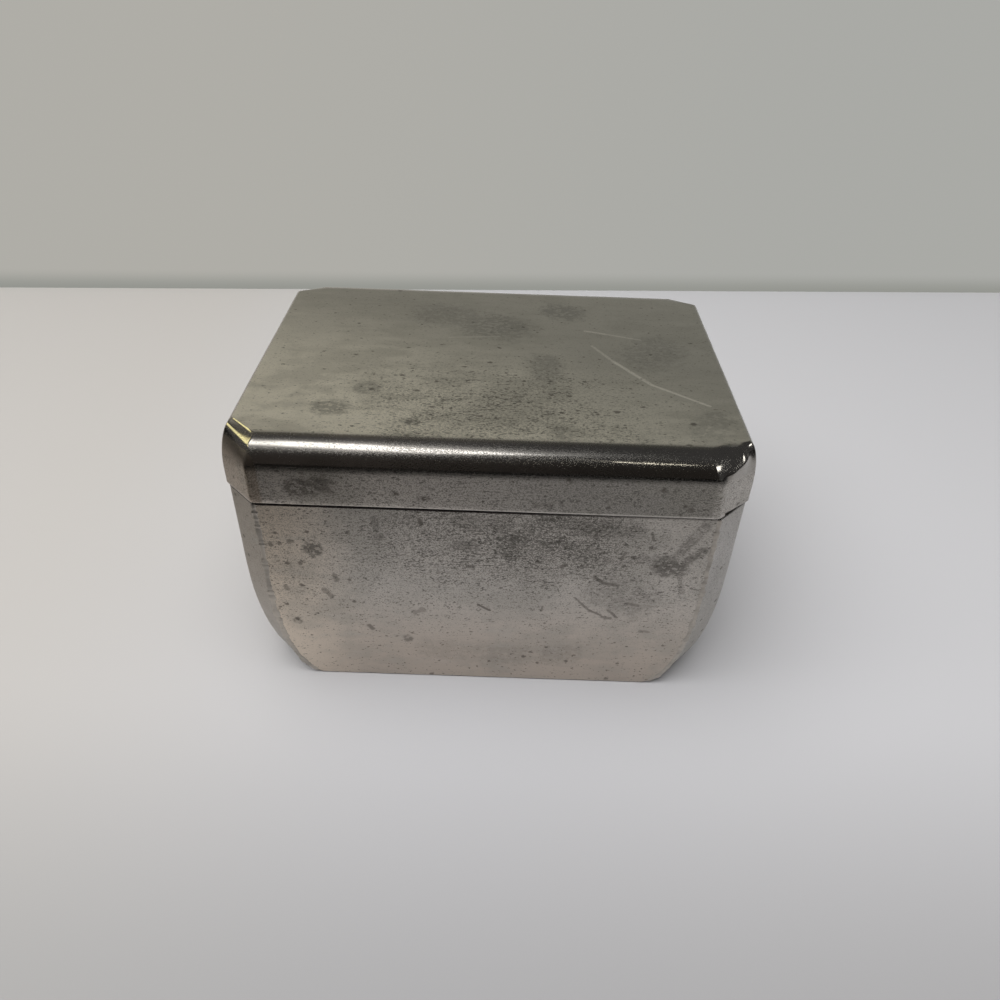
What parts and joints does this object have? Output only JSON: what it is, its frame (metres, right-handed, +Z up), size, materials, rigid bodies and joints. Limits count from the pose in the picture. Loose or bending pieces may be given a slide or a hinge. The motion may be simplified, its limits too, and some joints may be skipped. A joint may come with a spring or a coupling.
{
  "type": "hinged trinket box",
  "caption": "Rectangular sheet-metal keepsake box with canted corners, a rolled-edge lid hinged along the back, and sides that curve in at the foot.",
  "frame": {"origin": "on the table, under the middle of the box", "axes": "+X along the width, to the right of someone facing the front; +Y towards the hinged back; +Z up"},
  "size_m": [0.102, 0.0768, 0.0606],
  "materials": {
    "plated_sheet": "worn plated sheet metal with a mottled, pitted patina",
    "inner_metal": "unpolished inner metal",
    "hinge_metal": "dull hinge metal"
  },
  "bodies": {
    "body": {"body_band": "plated_sheet", "front_plate": "plated_sheet", "back_plate": "plated_sheet", "mouth_rim": "inner_metal", "hinge_bearer_body": "inner_metal", "knuckle_body_1": "hinge_metal", "knuckle_body_2": "hinge_metal", "knuckle_body_3": "hinge_metal", "knuckle_body_4": "hinge_metal", "hinge_pin": "hinge_metal"},
    "lid": {"lid_shell": "plated_sheet", "hinge_bearer_lid": "inner_metal", "knuckle_lid_1": "hinge_metal", "knuckle_lid_2": "hinge_metal", "knuckle_lid_3": "hinge_metal"}
  },
  "joints": [
    {"name": "lid_hinge", "type": "hinge", "parent": "body", "child": "lid", "pos_m": [0, 0.03675, 0.04735], "axis": [-1, 0, 0], "range_deg": [0, 100]}
  ]
}
